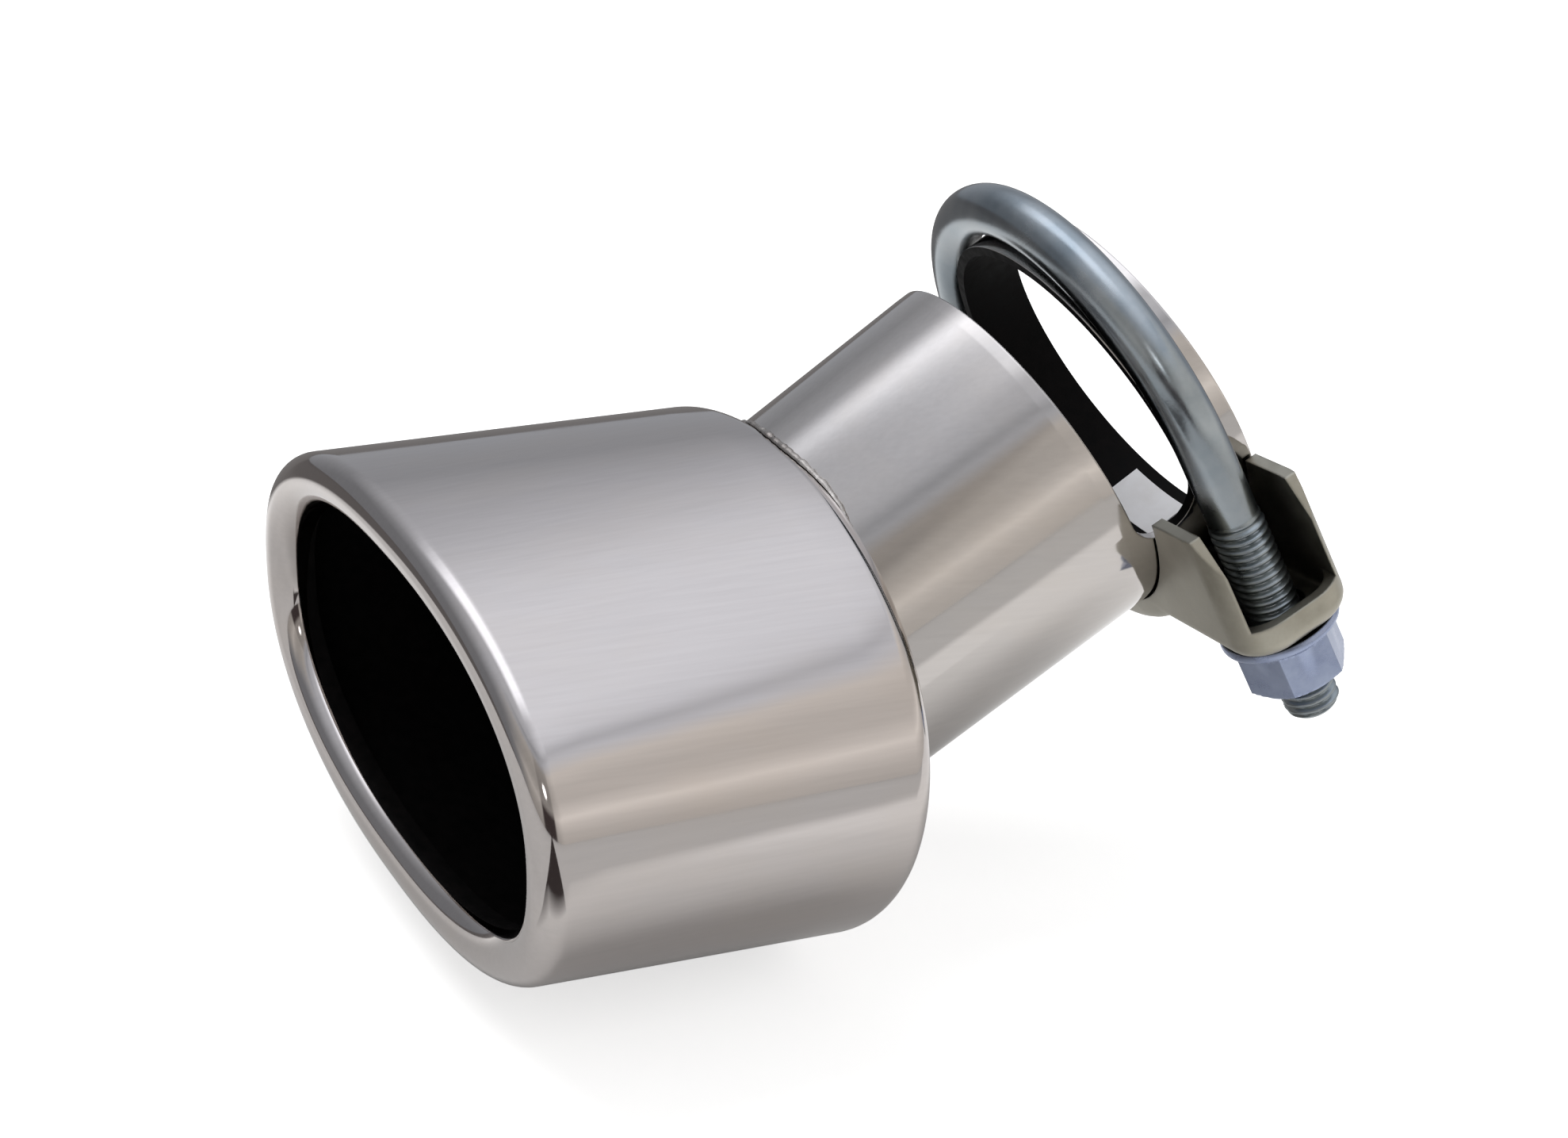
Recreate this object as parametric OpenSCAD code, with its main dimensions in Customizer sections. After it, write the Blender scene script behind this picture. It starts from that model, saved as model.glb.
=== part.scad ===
// Oval exhaust tip with an angled inlet tube and a U-bolt clamp.
// The part keeps the frame it has when fitted: Y is the axis of the shell, with the mouth towards -Y,
// Z is up, and the origin is the middle of the inlet tube's mouth. Inside the modules the shell is drawn
// from the mouth of its own axis, and as_fitted() moves it to the origin.

/* [Shell] */
// Width of the mouth over the rolled lip
mouth_w = 97; // [90:1:110]
// Height of the mouth over the rolled lip
mouth_h = 56.8; // [52:1:62]
// Width of the shell at its rear shoulder
rear_w = 93; // [88:1:110]
// Height of the shell at its rear shoulder
rear_h = 67; // [60:0.5:76]
// Length of the shell from mouth to rear wall
shell_len = 56.5; // [45:1:90]
// Sheet thickness of the shell
shell_wall = 1.5; // [1:0.1:2]
// Radius of the lip that is rolled in round the mouth
lip_r = 3.7; // [2.8:0.1:4.5]
// Straight flange behind the rolled lip
lip_tail = 2; // [1:0.5:5]
// Radius of the rear shoulder
shoulder_r = 3.6; // [3:0.2:6]
// Rake of the mouth, top edge forward
mouth_rake = 5.8; // [0:0.1:8]
// Fullness of the oval at the mouth, where 2 is an ellipse
mouth_power = 2.3; // [2:0.05:2.6]
// Fullness of the oval at the rear
rear_power = 2.05; // [2:0.05:2.4]
// Height of the mouth's middle over the shell's axis
mouth_lift = 0.6; // [0:0.1:2]

/* [Inlet tube] */
// Outer diameter of the sized inlet end
tube_od = 55; // [54:0.2:56]
// Height that the tube's upper edge would reach over the shell's top at the rear wall
tube_over = 0.6; // [0:0.1:1.5]
// Wall thickness of the tube
tube_wall = 1.5; // [1:0.1:2]
// Angle between the tube and the axis of the shell
tube_angle = 34.5; // [25:0.5:36]
// Height of the tube's axis over the shell's axis at the rear wall
root_rise = 2.2; // [0:0.1:3]
// Length along the axis from the rear wall to the inlet's mouth
tube_len = 67; // [60:0.2:80]
// Length of the sized, straight end
sized_len = 22; // [20:1:40]
// How far the tube reaches past the rear wall into the shell
tube_proud = 3; // [1:0.5:8]
// Width of the cross slot
slot_w = 10.6; // [8:0.2:12]
// Length of the closed ring between the slot and the mouth
ring_len = 9.5; // [7:0.1:11]
// Half angle of the neck that joins the ring to the tube
neck_half_angle = 80; // [60:1:86]

/* [Weld] */
// Leg of the weld bead between tube and shell
weld_leg = 1; // [0.6:0.1:2]

/* [U-bolt] */
// Diameter of the plain bow
rod_d = 7.3; // [6.5:0.1:7.6]
// Outer diameter of the threaded legs
thread_d = 7.9; // [7.7:0.05:8]
// Gap between the legs and the inlet end
leg_gap = 1.1; // [0.6:0.1:2.5]
// Length of the legs below the centre of the bow
leg_len = 43; // [42:0.5:60]
// Plain length of the legs before the thread starts
plain_len = 7; // [2:0.5:10]
// Distance of the bow's centre from the tube's mouth
clamp_inset = 8; // [7:0.1:9]
// Angle that the clamp is turned about the tube
clamp_turn = 12.4; // [0:0.1:90]
// Lean of the clamp, crown towards the tube's mouth
clamp_lean = 4.3; // [0:0.1:5]
// Chamfer on the ends of the legs
end_chamfer = 0.9; // [0.4:0.1:1.4]

/* [Saddle] */
// Width of the saddle across its two walls
saddle_w = 18.4; // [17:0.2:22]
// Sheet thickness of the saddle
saddle_wall = 1.8; // [1.5:0.1:2.4]
// Radial height of the saddle's walls under the tube
belly_h = 5; // [4:0.1:8]
// Drop from the bow's centre to the underside of the ears
ear_drop = 27.5; // [25:0.5:32]
// Height of the rim round the ears
rim_h = 5; // [3.5:0.5:7]
// Drop from the bow's centre to the corners of the horns
horn_drop = 6.6; // [4:0.2:9]
// How far the horns' corners stand in from the ends
horn_in = 5.2; // [3:0.2:8]
// Slope of the horns' top edges
horn_slope = 5; // [0:1:20]
// Diameter of the bolt holes
bolt_hole_d = 9.4; // [9.2:0.1:11]
// Chamfer on the saddle's lower edges
saddle_edge = 1.6; // [0.8:0.1:2]

/* [Flange nuts] */
// Width of the nuts across their flats
nut_flats = 13; // [12:0.5:14]
// Height of the nuts
nut_h = 9.4; // [8:0.2:12]
// Diameter of the nuts' flange
flange_d = 17.6; // [16:0.2:20]
// Thickness of the flange at its edge
flange_edge = 1.4; // [1:0.1:2]

/* [Label] */
// Length of the sticker round the inside of the tube
label_arc = 12; // [8:0.5:14]
// Width of the sticker along the tube
label_w = 7; // [5:0.5:8]
// Thickness of the sticker
label_t = 0.15; // [0.1:0.01:0.2]

/* [Hidden] */

// Overrun of every cut past the face that it opens
over = 1;
// Clearance between the tube and the edge of the hole in the rear wall
seam = 0.1;
// Clearance between the crown of the bow and the ring
bow_seat = 0.25;
// Clearance between the saddle's cradle and the tube's outer radius
cradle_seat = 0.3;
// Clearance between the nuts' bore and the thread
nut_play = 0.1;
// Clearance between the nuts' flange and the saddle
nut_seat = 0.02;
// Clearance between the sticker and the wall of the tube
label_seat = 0.02;
// Angle of the sticker's middle, from the tube's lowest line towards +X
label_angle = -6;
// Distance of the sticker's middle from the inlet's mouth
label_inset = 5.4;
// Angle of the cone under the nuts' flange
flange_cone_angle = 20;

// Points round the shell, and along each of its rounds
around_n = 96;
lip_n = 8;
shoulder_n = 8;
bead_n = 4;
solve_n = 24;

tube_r = tube_od / 2;
// The tube's slanting cut fills the height of the rear wall
root_r = (rear_h / 2 + tube_over - root_rise) * cos(tube_angle);
rod_r = rod_d / 2;
thread_r = thread_d / 2;
bow_r = tube_r + leg_gap + rod_r;
slot_mid = tube_len - ring_len - slot_w / 2;
cone_len = tube_len - sized_len;
mouth_slope = tan(mouth_rake);

// Directions in the YZ plane: along the tube, and square to it, up
along = [0, cos(tube_angle), sin(tube_angle)];
upright = [0, -sin(tube_angle), cos(tube_angle)];
root = [0, shell_len, root_rise];
inlet = root + tube_len * along;

// The bow hangs on the ring by its crown
bow_drop = bow_r - rod_r - tube_r - bow_seat;

end_r = thread_r - end_chamfer;

// Oval shell

// Share of the way from the mouth's section to the rear section
function growth(y) = max(0, min(1, (y - lip_r) / (shell_len - shoulder_r - lip_r)));
function blend(a, b, share) = a + (b - a) * share;
function half_w(y) = blend(mouth_w, rear_w, growth(y)) / 2;
function half_h(y) = blend(mouth_h, rear_h, growth(y)) / 2;
function lift(y) = mouth_lift * (1 - growth(y));
function fullness(y) = blend(mouth_power, rear_power, growth(y));
function power_of(v, p) = sign(v) * pow(abs(v), p);

// Point on the oval of the section at y, moved in by inset along the outline's normal
function oval_point(angle, y, inset) = let(
    c = cos(angle),
    s = sin(angle),
    a = half_w(y),
    b = half_h(y),
    k = 2 / fullness(y),
    normal = [power_of(c, 2 - k) / a, power_of(s, 2 - k) / b],
    p = [a * power_of(c, k), b * power_of(s, k)]
) p - inset * normal / norm(normal);

// Point of the shell at an angle, an axial place and an inset, with the mouth's rake
function shell_point(angle, y, inset) = let(
    p = oval_point(angle, y, inset)
) [p[0], y - mouth_slope * p[1] * (1 - growth(y)), p[1] + lift(y)];

// Place on the rear end at a travel from the outline towards the middle, on a skin
// that lies at a depth under the outer face
function rear_point(angle, travel, depth) = let(
    r = shoulder_r - depth,
    y0 = shell_len - shoulder_r,
    bend = r * 90 * PI / 180,
    turn = min(90, travel / r * 180 / PI),
    flat = max(0, travel - bend)
) shell_point(angle, y0 + r * sin(turn), depth + r * (1 - cos(turn)) + flat);

// Clear distance from a point to the tube's outer face
function tube_radius(d) = blend(root_r, tube_r, max(0, min(1, d / cone_len)));
function tube_clear(p) = let(
    v = p - root,
    d = v * along
) norm(v - d * along) - tube_radius(d);

// Travel at which the rear skin meets the tube with a given clearance, by halving
function meet(angle, depth, gap, low, high, steps) =
    steps == 0 ? (low + high) / 2
    : let(mid = (low + high) / 2)
        tube_clear(rear_point(angle, mid, depth)) > gap
            ? meet(angle, depth, gap, mid, high, steps - 1)
            : meet(angle, depth, gap, low, mid, steps - 1);
function seam_travel(angle, depth, gap) = meet(angle, depth, gap, 0, rear_h / 2, solve_n);

// Section of the shell's sheet at one angle round the oval, as a closed loop
function lip_skin(angle, depth) = [
    for (k = [0 : lip_n]) let(turn = 180 * k / lip_n)
        shell_point(angle, lip_r - (lip_r - depth) * sin(turn), lip_r + (lip_r - depth) * cos(turn))
];
function rear_skin(angle, depth, gap) = let(
    end = seam_travel(angle, depth, gap)
) [for (k = [0 : shoulder_n]) rear_point(angle, end * k / shoulder_n, depth)];
function reversed(list) = [for (k = [len(list) - 1 : -1 : 0]) list[k]];
function sheet_loop(angle) = concat(
    [shell_point(angle, lip_r + lip_tail, 2 * lip_r)],
    lip_skin(angle, 0),
    rear_skin(angle, 0, seam),
    reversed(rear_skin(angle, shell_wall, seam)),
    reversed(lip_skin(angle, shell_wall)),
    [shell_point(angle, lip_r + lip_tail, 2 * lip_r - shell_wall)]
);

// Section of the weld bead at one angle: its corner, then a round from the shell to the tube
function bead_loop(angle) = let(
    travel = seam_travel(angle, -seam, 2 * seam),
    corner = rear_point(angle, travel, -seam),
    on_shell = rear_point(angle, max(0, travel - weld_leg), -seam) - corner,
    a = on_shell / norm(on_shell),
    b = along
) concat([corner], [
    for (k = [0 : bead_n]) let(v = blend(a, b, k / bead_n)) corner + weld_leg * v / norm(v)
]);

// Faces of a sweep whose loops close on each other all round
function ring_faces(loops, points) = [
    for (i = [0 : loops - 1], k = [0 : points - 1]) let(
        i2 = (i + 1) % loops,
        k2 = (k + 1) % points,
        a = i * points + k,
        b = i * points + k2,
        c = i2 * points + k2,
        d = i2 * points + k
    ) each [[a, b, c], [a, c, d]]
];
module closed_sweep(loops) {
    polyhedron(
        points = [for (loop = loops) each loop],
        faces = ring_faces(len(loops), len(loops[0])),
        convexity = 6
    );
}

// Frames

module as_fitted() {
    translate(-inlet) children();
}

// Frame of the tube: Z runs out along its axis from the rear wall, Y points down and back
module on_tube() {
    as_fitted() translate(root) rotate([tube_angle - 90, 0, 0]) children();
}

// Frame of the clamp: X across, Y along the tube to its mouth, Z up through the crown
module on_clamp() {
    on_tube() rotate([0, 0, -clamp_turn]) translate([0, 0, tube_len - clamp_inset])
        rotate([90 - clamp_lean, 0, 0]) translate([0, 0, -bow_drop]) children();
}

// Sub-parts

module tip_shell() {
    color("silver") as_fitted()
        closed_sweep([for (i = [0 : around_n - 1]) sheet_loop(360 * i / around_n)]);
}

module weld_bead() {
    color("dimgray") as_fitted()
        closed_sweep([for (i = [0 : around_n - 1]) bead_loop(360 * i / around_n)]);
}

// Body of the tube between two radii offsets, drawn long and cut by the plane inside the shell
module tube_barrel(depth, past) {
    rotate_extrude($fn = 96) polygon([
        [0, -cone_len],
        [root_r - depth, -cone_len],
        [root_r - depth, 0],
        [tube_r - depth, cone_len],
        [tube_r - depth, tube_len + past],
        [0, tube_len + past]
    ]);
}

// Cross slot, open over the top, with round ends at the neck
module cross_slot() {
    slot_low = tube_r * cos(neck_half_angle) - slot_w / 2;
    translate([0, 0, slot_mid]) rotate([0, 90, 0]) {
        translate([0, slot_low, 0])
            cylinder(d = slot_w, h = tube_od + 2 * over, center = true, $fn = 48);
        translate([-slot_w / 2, -tube_od, -tube_r - over])
            cube([slot_w, tube_od + slot_low, tube_od + 2 * over]);
    }
}

module inlet_tube() {
    color("lightgray") difference() {
        on_tube() difference() {
            tube_barrel(0, 0);
            tube_barrel(tube_wall, over);
            cross_slot();
        }
        as_fitted() translate([-tube_od, -tube_od, -tube_od])
            cube([2 * tube_od, tube_od + shell_len - tube_proud, 2 * tube_od]);
    }
}

module bolt_leg() {
    thread_len = leg_len - plain_len;
    translate([0, 0, -plain_len]) cylinder(d = rod_d, h = plain_len, $fn = 48);
    translate([0, 0, -leg_len + end_chamfer])
        cylinder(d = thread_d, h = thread_len - end_chamfer, $fn = 48);
    translate([0, 0, -leg_len])
        cylinder(r1 = end_r, r2 = thread_r, h = end_chamfer, $fn = 48);
}

module u_bolt() {
    color("lightsteelblue") on_clamp() {
        rotate([90, 0, 0]) rotate_extrude(angle = 180, $fn = 96)
            translate([bow_r, 0]) circle(d = rod_d, $fn = 48);
        for (side = [-1, 1]) translate([side * bow_r, 0, 0]) bolt_leg();
    }
}

// Bar with round ends and a chamfered lower edge, from z0 to z1
module saddle_plan(half, edge, z0, z1) {
    rotate([90, 0, 90]) linear_extrude(2 * bow_r, center = true) polygon([
        [-half, z0 + edge],
        [-half + edge, z0],
        [half - edge, z0],
        [half, z0 + edge],
        [half, z1],
        [-half, z1]
    ]);
    for (side = [-1, 1]) translate([side * bow_r, 0, 0]) {
        translate([0, 0, z0]) cylinder(r1 = half - edge, r2 = half, h = edge, $fn = 64);
        translate([0, 0, z0 + edge]) cylinder(r = half, h = z1 - z0 - edge, $fn = 64);
    }
}

// Side view of the ears, their rim and the horns, cut through the saddle's width
module horn_side() {
    end_x = bow_r + saddle_w / 2;
    horn_x = end_x - horn_in;
    inner_x = tube_r / 2;
    inner_z = -horn_drop - (horn_x - inner_x) * tan(horn_slope);
    rotate([90, 0, 0]) linear_extrude(saddle_w + 2 * over, center = true) polygon([
        [-end_x - over, -ear_drop - over],
        [end_x + over, -ear_drop - over],
        [end_x + over, -ear_drop + rim_h],
        [horn_x, -ear_drop + rim_h],
        [horn_x, -horn_drop],
        [inner_x, inner_z],
        [-inner_x, inner_z],
        [-horn_x, -horn_drop],
        [-horn_x, -ear_drop + rim_h],
        [-end_x - over, -ear_drop + rim_h]
    ]);
}

// Round belly under the tube, with both its edges chamfered
module belly(r, half, edge) {
    rotate([90, 0, 0]) rotate_extrude($fn = 128) polygon([
        [0, -half],
        [r - edge, -half],
        [r, -half + edge],
        [r, half - edge],
        [r - edge, half],
        [0, half]
    ]);
}

module saddle_block() {
    intersection() {
        saddle_plan(saddle_w / 2, saddle_edge, -ear_drop, 0);
        horn_side();
    }
    difference() {
        belly(tube_r + cradle_seat + belly_h, saddle_w / 2, saddle_edge);
        translate([-tube_od, -saddle_w, -ear_drop + rim_h])
            cube([2 * tube_od, 2 * saddle_w, 2 * tube_od]);
    }
}

module saddle() {
    inside = saddle_w / 2 - saddle_wall;
    color("tan") on_clamp() difference() {
        saddle_block();
        saddle_plan(inside, 0, -ear_drop + saddle_wall, over);
        belly(tube_r + cradle_seat + belly_h - saddle_wall, inside, 0);
        translate([0, 0, bow_drop]) rotate([clamp_lean - 90, 0, 0])
            cylinder(r = tube_r + cradle_seat, h = 4 * saddle_w, center = true, $fn = 128);
        for (side = [-1, 1]) translate([side * bow_r, 0, -ear_drop - over])
            cylinder(d = bolt_hole_d, h = saddle_wall + 2 * over, $fn = 48);
    }
}

// Flange nut with its flange up at z = 0 and its hexagon below
module flange_nut() {
    corner_r = nut_flats / sqrt(3);
    cone_h = (flange_d / 2 - corner_r) * tan(flange_cone_angle);
    difference() {
        union() {
            translate([0, 0, -flange_edge]) cylinder(d = flange_d, h = flange_edge, $fn = 64);
            translate([0, 0, -flange_edge - cone_h])
                cylinder(r1 = corner_r, r2 = flange_d / 2, h = cone_h, $fn = 64);
            intersection() {
                translate([0, 0, -nut_h]) cylinder(r = corner_r, h = nut_h - flange_edge, $fn = 6);
                translate([0, 0, -nut_h]) cylinder(
                    r1 = nut_flats / 2, r2 = nut_flats / 2 + 2 * nut_h, h = nut_h, $fn = 64);
            }
        }
        translate([0, 0, -nut_h - over])
            cylinder(r = thread_r + nut_play, h = nut_h + 2 * over, $fn = 48);
    }
}

module nut_on_leg(side) {
    color("lavender") on_clamp() translate([side * bow_r, 0, -ear_drop - nut_seat]) flange_nut();
}
module flange_nut_left() {
    nut_on_leg(-1);
}
module flange_nut_right() {
    nut_on_leg(1);
}

// Bare sticker on the inside of the tube, seen through the slot
module size_label() {
    label_r = tube_r - tube_wall - label_seat;
    span = label_arc / label_r * 180 / PI;
    color("white") on_tube()
        translate([0, 0, tube_len - label_inset - label_w / 2])
            rotate([0, 0, 90 - label_angle - span / 2])
                rotate_extrude(angle = span, $fn = 96)
                    translate([label_r - label_t, 0]) square([label_t, label_w]);
}

tip_shell();
inlet_tube();
weld_bead();
u_bolt();
saddle();
flange_nut_left();
flange_nut_right();
size_label();
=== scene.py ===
import math

import bmesh
import bpy
from mathutils import Matrix, Vector, noise


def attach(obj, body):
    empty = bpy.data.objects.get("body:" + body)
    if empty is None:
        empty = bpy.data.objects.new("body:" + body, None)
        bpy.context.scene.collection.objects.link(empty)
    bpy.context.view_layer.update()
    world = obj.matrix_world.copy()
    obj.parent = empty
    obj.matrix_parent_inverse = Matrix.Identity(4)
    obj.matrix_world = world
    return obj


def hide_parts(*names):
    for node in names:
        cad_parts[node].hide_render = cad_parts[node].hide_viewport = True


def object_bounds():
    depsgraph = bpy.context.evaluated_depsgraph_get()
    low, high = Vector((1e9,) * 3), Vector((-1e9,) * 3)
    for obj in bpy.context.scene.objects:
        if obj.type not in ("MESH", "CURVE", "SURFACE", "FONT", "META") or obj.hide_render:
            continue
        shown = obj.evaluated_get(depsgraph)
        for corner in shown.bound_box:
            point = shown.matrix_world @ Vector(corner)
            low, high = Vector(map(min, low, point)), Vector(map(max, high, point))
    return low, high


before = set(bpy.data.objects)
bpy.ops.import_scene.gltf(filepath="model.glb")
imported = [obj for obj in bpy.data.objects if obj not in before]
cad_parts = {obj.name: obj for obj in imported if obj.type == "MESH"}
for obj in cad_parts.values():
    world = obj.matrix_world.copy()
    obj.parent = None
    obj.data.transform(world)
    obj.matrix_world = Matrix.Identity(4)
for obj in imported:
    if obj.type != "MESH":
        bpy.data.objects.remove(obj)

CAD_LOW, CAD_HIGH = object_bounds()

# Sizes, in metres, in the row frame: origin at the inlet's mouth, Y along the shell, Z up

MM = 0.001
TUBE_ANGLE = math.radians(34.5)
TUBE_LEN, TUBE_R, CONE_LEN = 67 * MM, 27.5 * MM, 45 * MM
TUBE_OVER, ROOT_RISE = 0.6 * MM, 2.2 * MM
SHELL_LEN, SHELL_WALL = 56.5 * MM, 1.5 * MM
MOUTH_W, MOUTH_H = 97 * MM, 56.8 * MM
REAR_W, REAR_H = 93 * MM, 67 * MM
MOUTH_POWER, REAR_POWER = 2.3, 2.05
MOUTH_LIFT = 0.6 * MM
MOUTH_SLOPE = math.tan(math.radians(5.8))
LIP_R, LIP_TAIL, SHOULDER_R = 3.7 * MM, 2 * MM, 3.6 * MM
SEAM = 0.1 * MM
ROOT_R = (REAR_H / 2 + TUBE_OVER - ROOT_RISE) * math.cos(TUBE_ANGLE)

ROD_R, THREAD_R, THREAD_ROOT = 3.65 * MM, 3.95 * MM, 3.3 * MM
THREAD_PITCH, THREAD_RUN_IN = 1.25 * MM, 1.875 * MM
CREST_SHARE, FLANK_SLOPE = 1.25, 2.75
LEG_GAP, BOW_SEAT = 1.1 * MM, 0.25 * MM
BOW_R = TUBE_R + LEG_GAP + ROD_R
BOW_DROP = LEG_GAP - BOW_SEAT
LEG_LEN, PLAIN_LEN, END_CHAMFER = 42.6 * MM, 9.5 * MM, 0.9 * MM
CLAMP_INSET = 8 * MM
CLAMP_TURN, CLAMP_LEAN = math.radians(12.4), math.radians(4.3)

EAR_DROP, EAR_REACH, EAR_CORNER = 27.3 * MM, 9.2 * MM, 6.4 * MM
SADDLE_HALF, SADDLE_WALL, SADDLE_ROUND = 9.1 * MM, 1.8 * MM, 2.6 * MM
BELLY_H, RIM_H, CRADLE_SEAT = 4 * MM, 5 * MM, 0.3 * MM
# How far the cradle's cutter goes from the tube's mouth, inwards and outwards
CUT_IN, CUT_OUT = 45 * MM, 30 * MM
HORN_DROP, HORN_IN, HORN_FALL = 7 * MM, 5 * MM, 10 * MM
BOLT_HOLE_R = 4.7 * MM
# Keeps the cutters' faces off each other's planes
SHY = 0.02 * MM
NUT_FLATS, NUT_H, NUT_TURN = 13 * MM, 9.2 * MM, math.radians(22)
FLANGE_R, FLANGE_EDGE, FLANGE_ROUND = 8.6 * MM, 1.3 * MM, 0.3 * MM
CONE_H, CONE_CURVE = 1.5 * MM, 1.6
# The end face's share of the flats, and the slope and height of the cut on the corners
FACE_SHARE, CORNER_SLOPE, CORNER_H = 0.94, 1.9, 1.5 * MM
BORE_CHAMFER, BORE_PLAY, NUT_SEAT = 0.7 * MM, 0.05 * MM, 0.02 * MM

ALONG = Vector((0, math.cos(TUBE_ANGLE), math.sin(TUBE_ANGLE)))
ROOT = -TUBE_LEN * ALONG
SHELL_MOUTH = ROOT - Vector((0, SHELL_LEN, ROOT_RISE))
SHELL_MIDDLE = SHELL_MOUTH + Vector((0, SHELL_LEN / 2, 0))


def turn_x(angle):
    return Matrix.Rotation(angle, 4, "X")


# Z runs out along the tube
TUBE_FRAME = Matrix.Translation(ROOT) @ turn_x(TUBE_ANGLE - math.pi / 2)
# X across, Y along the tube to its mouth, Z up through the crown of the bow
CLAMP_FRAME = (
    TUBE_FRAME @ Matrix.Rotation(-CLAMP_TURN, 4, "Z")
    @ Matrix.Translation((0, 0, TUBE_LEN - CLAMP_INSET))
    @ turn_x(math.pi / 2 - CLAMP_LEAN) @ Matrix.Translation((0, 0, -BOW_DROP)))

# The photo's camera

CAM_LOCATION = (0.292377, -0.241966, 0.137394)
CAM_AZIMUTH, CAM_ELEVATION, CAM_ROLL = 57.224, 25.173, -8.09
CAM_LENS = 63.68


def make_camera():
    a, e, r = (math.radians(v) for v in (CAM_AZIMUTH, CAM_ELEVATION, CAM_ROLL))
    back = Vector((math.sin(a) * math.cos(e), -math.cos(a) * math.cos(e), math.sin(e)))
    right = Vector((math.cos(a), math.sin(a), 0))
    up = back.cross(right)
    turned_right = math.cos(r) * right - math.sin(r) * up
    turned_up = math.sin(r) * right + math.cos(r) * up
    cam = bpy.data.objects.new("camera", bpy.data.cameras.new("camera"))
    bpy.context.scene.collection.objects.link(cam)
    cam.matrix_world = Matrix.Translation(CAM_LOCATION) @ Matrix(
        (turned_right, turned_up, back)).transposed().to_4x4()
    cam.data.lens = CAM_LENS
    cam.data.clip_start = 0.01
    bpy.context.scene.camera = cam


# Helpers for shader nodes

class Nodes:
    def __init__(self, tree):
        self.tree = tree
        tree.nodes.clear()

    def add(self, kind, inputs=None, **props):
        n = self.tree.nodes.new(kind)
        for k, v in props.items():
            setattr(n, k, v)
        for k, v in (inputs or {}).items():
            if isinstance(v, bpy.types.NodeSocket):
                self.tree.links.new(v, n.inputs[k])
            else:
                n.inputs[k].default_value = v
        return n

    def math(self, op, a, b=0.0, c=None, clamp=False):
        ins = {0: a, 1: b}
        if c is not None:
            ins[2] = c
        return self.add("ShaderNodeMath", ins, operation=op, use_clamp=clamp).outputs[0]

    def vmath(self, op, a, b, out="Vector"):
        return self.add("ShaderNodeVectorMath", {0: a, 1: b}, operation=op).outputs[out]

    def mix(self, fac, a, b):
        n = self.add("ShaderNodeMix", data_type="RGBA")
        for k, v in ((0, fac), (6, a), (7, b)):
            if isinstance(v, bpy.types.NodeSocket):
                self.tree.links.new(v, n.inputs[k])
            else:
                n.inputs[k].default_value = v
        return n.outputs[2]

    def ramp(self, fac, stops, smooth=False):
        n = self.add("ShaderNodeValToRGB", {0: fac})
        n.color_ramp.interpolation = "EASE" if smooth else "LINEAR"
        els = n.color_ramp.elements
        while len(els) < len(stops):
            els.new(0.5)
        for el, (pos, col) in zip(els, sorted(stops)):
            el.position = pos
            el.color = (col, col, col, 1) if isinstance(col, (int, float)) else (*col, 1)
        return n.outputs[0]

    def noise(self, vec, scale, detail=3.0, rough=0.5):
        return self.add("ShaderNodeTexNoise", {"Vector": vec, "Scale": scale, "Detail": detail,
                                               "Roughness": rough}).outputs["Fac"]

    def coords(self, stretch=(1, 1, 1), turn=(0, 0, 0)):
        g = self.add("ShaderNodeTexCoord").outputs["Object"]
        return self.add("ShaderNodeMapping", {"Vector": g, "Scale": stretch, "Rotation": turn}).outputs[0]

    def finish(self, shader):
        out = self.add("ShaderNodeOutputMaterial")
        self.tree.links.new(shader, out.inputs[0])


def material(name):
    m = bpy.data.materials.new(name)
    m.use_nodes = True
    return m, Nodes(m.node_tree)


# How much an end face counts against a side, in metres from the axis
END_WEIGHT = 0.01


def inward(n, axis_point, axis_dir):
    """1 where the surface faces the given axis or its start, 0 where it faces away."""
    geo = n.add("ShaderNodeNewGeometry")
    rel = n.vmath("SUBTRACT", geo.outputs["Position"], axis_point)
    run = n.vmath("DOT_PRODUCT", rel, axis_dir, "Value")
    on_axis = n.add("ShaderNodeVectorMath", {0: axis_dir, 3: run}, operation="SCALE").outputs[0]
    out = n.vmath("SUBTRACT", rel, on_axis)
    facing = n.vmath("DOT_PRODUCT", out, geo.outputs["True Normal"], "Value")
    lengthwise = n.vmath("DOT_PRODUCT", geo.outputs["True Normal"], axis_dir, "Value")
    facing = n.math("ADD", facing, n.math("MULTIPLY", lengthwise, END_WEIGHT))
    return n.math("LESS_THAN", facing, 0.0), run


# Materials

# Height of the steel's waves and of its streaks
WAVE_HEIGHT, STREAK_HEIGHT = 0.000034, 0.0000015


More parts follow.
